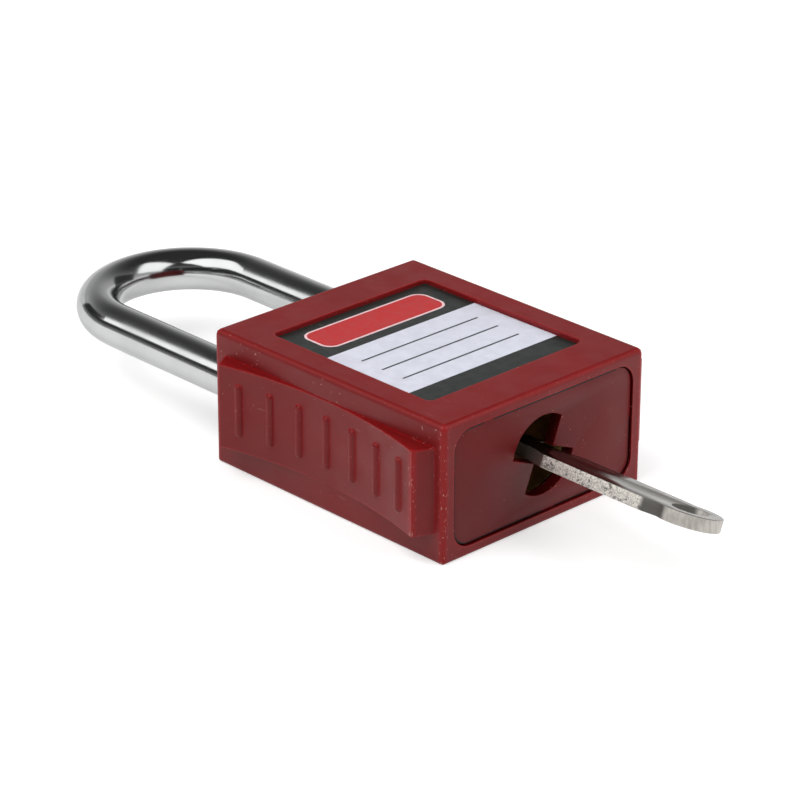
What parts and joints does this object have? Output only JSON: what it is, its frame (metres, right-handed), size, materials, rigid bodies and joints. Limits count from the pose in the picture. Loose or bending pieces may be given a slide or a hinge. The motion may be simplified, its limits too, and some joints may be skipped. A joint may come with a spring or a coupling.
{
  "type": "lockout padlock",
  "caption": "Compact safety lockout padlock with a ribbed plastic body, a long steel shackle, a recessed label face, and its key in the cylinder.",
  "frame": {"origin": "centre of the body's plain back face, which the padlock lies on", "axes": "+X out of the key end, -X towards the shackle, +Y the toe leg's side, -Y the heel leg's side, +Z out of the label face"},
  "size_m": [0.1192, 0.044, 0.02],
  "materials": {
    "body_plastic": "moulded maroon nylon, satin",
    "cover_plastic": "moulded maroon nylon, satin",
    "label_print": "printed polyester label, semi-gloss",
    "shackle_chrome": "bright chrome plating",
    "key_nickel": "nickel plating with scratches",
    "brass": "turned",
    "wafer_brass": "stamped",
    "cast_zinc": "die cast",
    "pin_steel": "ground",
    "ball_steel": "polished bearing steel",
    "spring_steel": "drawn wire"
  },
  "bodies": {
    "case": {"body_shell": "body_plastic", "bottom_cover": "cover_plastic", "front_label": "label_print", "lock_case": "cast_zinc", "cylinder_housing": "brass", "housing_pin": "pin_steel", "shackle_keeper_pin": "pin_steel"},
    "shackle_bar": {"shackle": "shackle_chrome"},
    "key_plug": {"plug": "brass", "plug_clip": "spring_steel", "cam_actuator": "cast_zinc", "key": "key_nickel", "wafer_1": "wafer_brass", "wafer_2": "wafer_brass", "wafer_3": "wafer_brass", "wafer_4": "wafer_brass", "wafer_5": "wafer_brass", "wafer_6": "wafer_brass", "wafer_7": "wafer_brass", "wafer_8": "wafer_brass", "wafer_spring_1": "spring_steel", "wafer_spring_2": "spring_steel", "wafer_spring_3": "spring_steel", "wafer_spring_4": "spring_steel", "wafer_spring_5": "spring_steel", "wafer_spring_6": "spring_steel", "wafer_spring_7": "spring_steel", "wafer_spring_8": "spring_steel"},
    "ball_left": {"locking_ball_left": "ball_steel"},
    "ball_right": {"locking_ball_right": "ball_steel"}
  },
  "joints": [
    {"name": "key_turn", "type": "hinge", "parent": "case", "child": "key_plug", "pos_m": [0, 0, 0.01], "axis": [1, 0, 0], "range_deg": [-90, 0]},
    {"name": "shackle_lift", "type": "slide", "parent": "case", "child": "shackle_bar", "axis": [-1, 0, 0], "range_m": [0, 0.013]},
    {"name": "ball_left_slide", "type": "slide", "parent": "case", "child": "ball_left", "axis": [0, -1, 0], "range_m": [0, 0.0012]},
    {"name": "ball_right_slide", "type": "slide", "parent": "case", "child": "ball_right", "axis": [0, 1, 0], "range_m": [0, 0.0012]}
  ],
  "couplings": [
    {"joint": "ball_left_slide", "follows": "key_turn", "m_per_rad": -0.00076394},
    {"joint": "ball_right_slide", "follows": "key_turn", "m_per_rad": -0.00076394}
  ]
}
